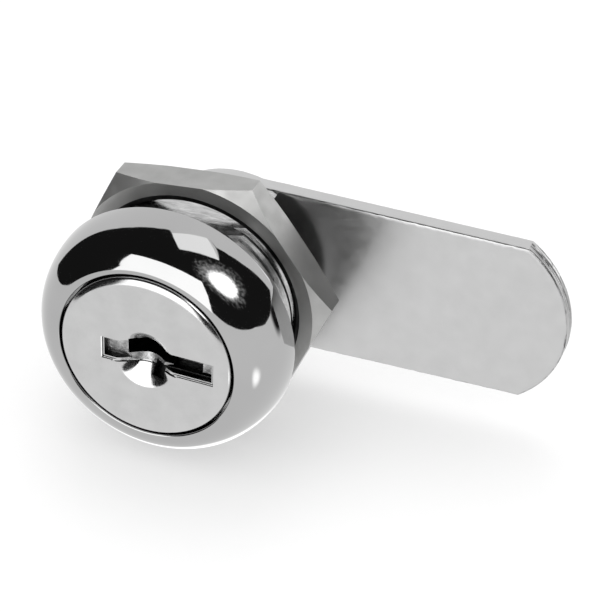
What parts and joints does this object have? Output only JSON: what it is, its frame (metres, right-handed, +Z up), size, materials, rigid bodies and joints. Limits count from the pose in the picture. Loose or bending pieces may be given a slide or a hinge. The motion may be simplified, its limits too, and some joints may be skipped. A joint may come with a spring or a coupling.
{
  "type": "cam lock",
  "caption": "Round key-operated cam lock with a domed polished head, slotted plug, threaded barrel with flats, chamfered hex nut and a straight flat cam that swings through a quarter turn.",
  "frame": {"origin": "on the lock's axis, in the plane of the head's back face, which rests on the panel", "axes": "+Y runs back along the lock's axis into the panel, the face looks along -Y, +X is the way the cam points, +Z is up, square to the barrel's flats"},
  "size_m": [0.0449, 0.0222, 0.0232],
  "materials": {
    "polished_chrome": "mirror-polished chrome plate",
    "satin_chrome": "lightly satin chrome plate with polished edges",
    "nickel_plate": "satin nickel plate on stamped steel",
    "zinc_plate": "satin bright zinc plate on stamped steel",
    "brass": "plain stamped brass",
    "spring_steel": "plain spring steel"
  },
  "bodies": {
    "housing": {"housing": "polished_chrome"},
    "plug": {"plug": "satin_chrome", "stop_washer": "zinc_plate", "cam": "zinc_plate", "lock_washer": "spring_steel", "cam_screw": "zinc_plate", "retainer_spring": "spring_steel", "disc_spring_1": "spring_steel", "disc_spring_2": "spring_steel", "disc_spring_3": "spring_steel", "disc_spring_4": "spring_steel", "disc_spring_5": "spring_steel", "disc_spring_6": "spring_steel"},
    "nut": {"hex_nut": "nickel_plate"},
    "retainer": {"retainer": "brass"},
    "disc_1": {"disc_tumbler_1": "brass"},
    "disc_2": {"disc_tumbler_2": "brass"},
    "disc_3": {"disc_tumbler_3": "brass"},
    "disc_4": {"disc_tumbler_4": "brass"},
    "disc_5": {"disc_tumbler_5": "brass"},
    "disc_6": {"disc_tumbler_6": "brass"}
  },
  "joints": [
    {"name": "plug_turn", "type": "hinge", "parent": "housing", "child": "plug", "pos_m": [0, 0, 0], "axis": [0, -1, 0], "range_deg": [0, 90]},
    {"name": "nut_travel", "type": "slide", "parent": "housing", "child": "nut", "axis": [0, 1, 0], "range_m": [-0.0041, 0.0025]},
    {"name": "disc_slide_1", "type": "slide", "parent": "plug", "child": "disc_1", "axis": [1, 0, 0], "range_m": [0, 0.0005], "stiffness_N_per_m": 100, "springref_m": 0.002, "deforming": ["disc_spring_1"]},
    {"name": "disc_slide_2", "type": "slide", "parent": "plug", "child": "disc_2", "axis": [-1, 0, 0], "range_m": [0, 0.0005], "stiffness_N_per_m": 100, "springref_m": 0.002, "deforming": ["disc_spring_2"]},
    {"name": "disc_slide_3", "type": "slide", "parent": "plug", "child": "disc_3", "axis": [1, 0, 0], "range_m": [0, 0.0005], "stiffness_N_per_m": 100, "springref_m": 0.002, "deforming": ["disc_spring_3"]},
    {"name": "disc_slide_4", "type": "slide", "parent": "plug", "child": "disc_4", "axis": [-1, 0, 0], "range_m": [0, 0.0005], "stiffness_N_per_m": 100, "springref_m": 0.002, "deforming": ["disc_spring_4"]},
    {"name": "disc_slide_5", "type": "slide", "parent": "plug", "child": "disc_5", "axis": [1, 0, 0], "range_m": [0, 0.0005], "stiffness_N_per_m": 100, "springref_m": 0.002, "deforming": ["disc_spring_5"]},
    {"name": "disc_slide_6", "type": "slide", "parent": "plug", "child": "disc_6", "axis": [-1, 0, 0], "range_m": [0, 0.0005], "stiffness_N_per_m": 100, "springref_m": 0.002, "deforming": ["disc_spring_6"]},
    {"name": "retainer_slide", "type": "slide", "parent": "plug", "child": "retainer", "axis": [1, 0, 0], "range_m": [-0.0005, 0], "stiffness_N_per_m": 100, "springref_m": 0.002, "deforming": ["retainer_spring"]}
  ]
}
